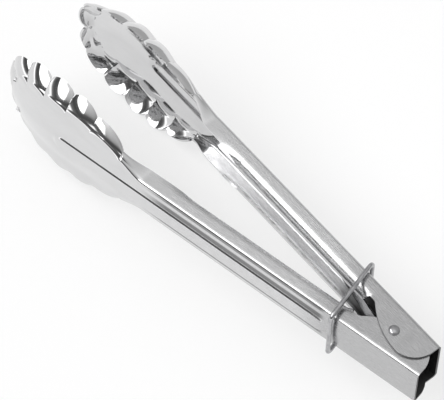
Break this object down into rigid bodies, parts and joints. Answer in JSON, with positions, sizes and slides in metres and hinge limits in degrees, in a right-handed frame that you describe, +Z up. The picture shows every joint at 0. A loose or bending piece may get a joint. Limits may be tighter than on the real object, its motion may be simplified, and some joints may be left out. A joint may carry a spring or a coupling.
{
  "type": "spring loaded kitchen tongs",
  "caption": "Spring loaded kitchen tongs: pressed steel arms hinged on a rivet, with scalloped scoop tips and a wire locking ring.",
  "frame": {"origin": "centre of the bounding box in plan, at its lowest point: the tongs lie on their side", "axes": "+Z up along the rivet, +X from the tips towards the handle end, -Y towards the front arm"},
  "size_m": [0.231, 0.0602, 0.0631],
  "materials": {
    "arm_steel": "pressed stainless sheet, fine brushed grain on the backs, bright at the scoops",
    "rivet_steel": "bright domed steel",
    "spring_steel": "rolled spring steel strip, darker than the arms",
    "wire_steel": "drawn bright steel wire"
  },
  "bodies": {
    "rear_arm": {"rear_arm": "arm_steel", "pivot_rivet": "rivet_steel", "opening_spring": "spring_steel"},
    "front_arm": {"front_arm": "arm_steel"},
    "locking_ring": {"locking_ring": "wire_steel"}
  },
  "joints": [
    {"name": "arm_pivot", "type": "hinge", "parent": "rear_arm", "child": "front_arm", "pos_m": [0.09466, -0.00007, 0.03188], "axis": [0, 0, 1], "range_deg": [-10.3, 0], "stiffness_Nm_per_rad": 1.2, "springref_deg": 6.88, "deforming": ["opening_spring"]},
    {"name": "ring_slide", "type": "slide", "parent": "rear_arm", "child": "locking_ring", "axis": [-0.9944, 0.1058, 0], "range_m": [0, 0.02]}
  ],
  "couplings": [
    {"joint": "ring_slide", "follows": "arm_pivot", "m_per_rad": -0.1112}
  ]
}
